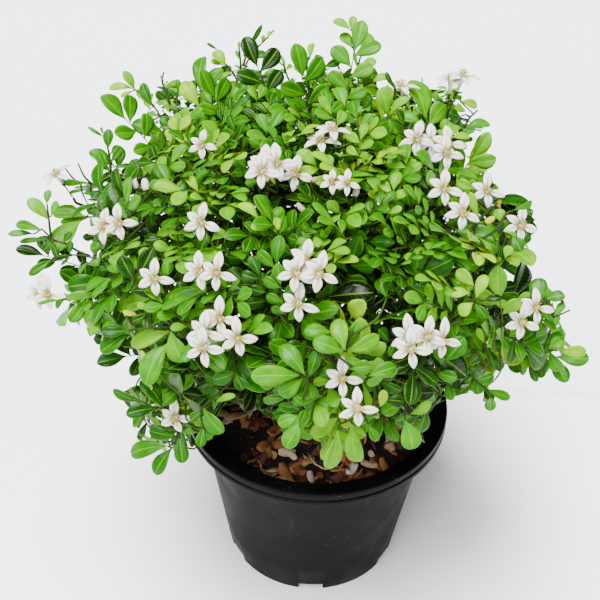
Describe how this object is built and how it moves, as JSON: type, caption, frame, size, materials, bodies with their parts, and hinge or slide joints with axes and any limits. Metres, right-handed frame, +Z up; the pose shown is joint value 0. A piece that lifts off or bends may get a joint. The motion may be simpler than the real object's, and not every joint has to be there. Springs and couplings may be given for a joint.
{
  "type": "potted orange jasmine",
  "caption": "Bushy flowering shrub with compound leaves and white star flowers, growing in a round tapered black nursery pot with a rolled rim and bark mulch.",
  "frame": {"origin": "on the floor at the pot's axis, in the middle of the pot's flat underside", "axes": "+Z up along the pot's axis, -Y towards the front of the plant, +X to the right seen from the front"},
  "size_m": [0.4035, 0.329, 0.4364],
  "materials": {
    "pot_plastic": "semi-matte black moulded plastic, dusty",
    "potting_soil": "dark crumbly potting mix",
    "bark_mulch": "dry bark and leaf flakes",
    "jasmine_bark": "pale grey-brown bark",
    "jasmine_leaf": "glossy green leaf",
    "jasmine_petal": "waxy white petal"
  },
  "bodies": {
    "root": {"pot": "pot_plastic", "soil": "potting_soil", "mulch": "bark_mulch", "woody_stems": "jasmine_bark", "branch_left_spray": "jasmine_leaf", "branch_left_upper": "jasmine_leaf", "branch_left_crest": "jasmine_leaf", "branch_crest": "jasmine_leaf", "branch_tall": "jasmine_leaf", "branch_right_crest": "jasmine_leaf", "branch_right_upper": "jasmine_leaf", "branch_right_spray": "jasmine_leaf", "branch_right_low": "jasmine_leaf", "branch_left_low": "jasmine_leaf", "branch_trailing": "jasmine_leaf", "branch_front_low": "jasmine_leaf", "branch_front_right": "jasmine_leaf", "branch_front_low_left": "jasmine_leaf", "branch_front_left": "jasmine_leaf", "branch_front": "jasmine_leaf", "branch_left_face": "jasmine_leaf", "branch_left_shoulder": "jasmine_leaf", "branch_top_left": "jasmine_leaf", "branch_top": "jasmine_leaf", "branch_top_front": "jasmine_leaf", "branch_top_right": "jasmine_leaf", "branch_right_shoulder": "jasmine_leaf", "branch_right_face": "jasmine_leaf", "branch_back_left": "jasmine_leaf", "branch_back": "jasmine_leaf", "branch_back_low": "jasmine_leaf", "branch_back_right": "jasmine_leaf", "branch_back_spray": "jasmine_leaf", "branch_back_top": "jasmine_leaf", "bloom_top_left": "jasmine_petal", "bloom_top": "jasmine_petal", "bloom_top_trumpets": "jasmine_petal", "bloom_left_brow": "jasmine_petal", "bloom_left_shoulder": "jasmine_petal", "bloom_left_cheek": "jasmine_petal", "bloom_left_face": "jasmine_petal", "bloom_front_left": "jasmine_petal", "bloom_front": "jasmine_petal", "bloom_trailing": "jasmine_petal", "bloom_front_low": "jasmine_petal", "bloom_front_right": "jasmine_petal", "bloom_right_brow": "jasmine_petal", "bloom_right_temple": "jasmine_petal", "bloom_right_shoulder": "jasmine_petal", "bloom_right_spray": "jasmine_petal", "bloom_top_right": "jasmine_petal", "bloom_right_trumpets": "jasmine_petal", "bloom_crest_trumpet": "jasmine_petal", "bloom_left_upper": "jasmine_petal", "bloom_left_spray": "jasmine_petal", "bloom_brow": "jasmine_petal", "bloom_back_left": "jasmine_petal", "bloom_back": "jasmine_petal", "bloom_back_right": "jasmine_petal"}
  },
  "joints": []
}
